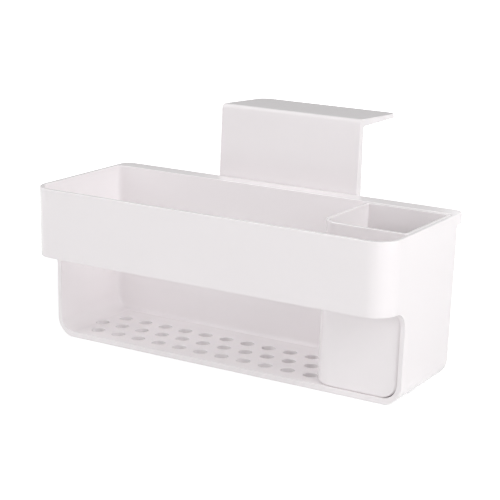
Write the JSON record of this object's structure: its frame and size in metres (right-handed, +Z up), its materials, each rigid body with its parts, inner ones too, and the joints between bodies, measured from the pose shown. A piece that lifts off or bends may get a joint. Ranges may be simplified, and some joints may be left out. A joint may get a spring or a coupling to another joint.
{
  "type": "kitchen sink caddy",
  "caption": "White plastic sink caddy: an open tray with a recessed drained shelf, a lift-out utensil cup and a hanger bracket clipped under its rear rim.",
  "frame": {"origin": "bottom centre of the overall box, on the plane that the tray's base stands on", "axes": "+X along the tray to the right as seen from its front, +Y from the front to the hanger's flange, +Z up"},
  "size_m": [0.25, 0.1606, 0.1503],
  "materials": {
    "body_plastic": "smooth moulded gloss",
    "cup_plastic": "smooth moulded gloss",
    "hanger_plastic": "smooth moulded gloss",
    "grip_rubber": "matt foam rubber"
  },
  "bodies": {
    "caddy": {"caddy_body": "body_plastic"},
    "cup": {"utensil_cup": "cup_plastic"},
    "hanger": {"hanger_bracket": "hanger_plastic", "flange_grip_pad": "grip_rubber"}
  },
  "joints": [
    {"name": "cup_lift", "type": "slide", "parent": "caddy", "child": "cup", "axis": [0, 0, 1], "range_m": [0, 0.1]},
    {"name": "hanger_slide", "type": "slide", "parent": "caddy", "child": "hanger", "axis": [1, 0, 0], "range_m": [-0.06, 0.06]}
  ]
}
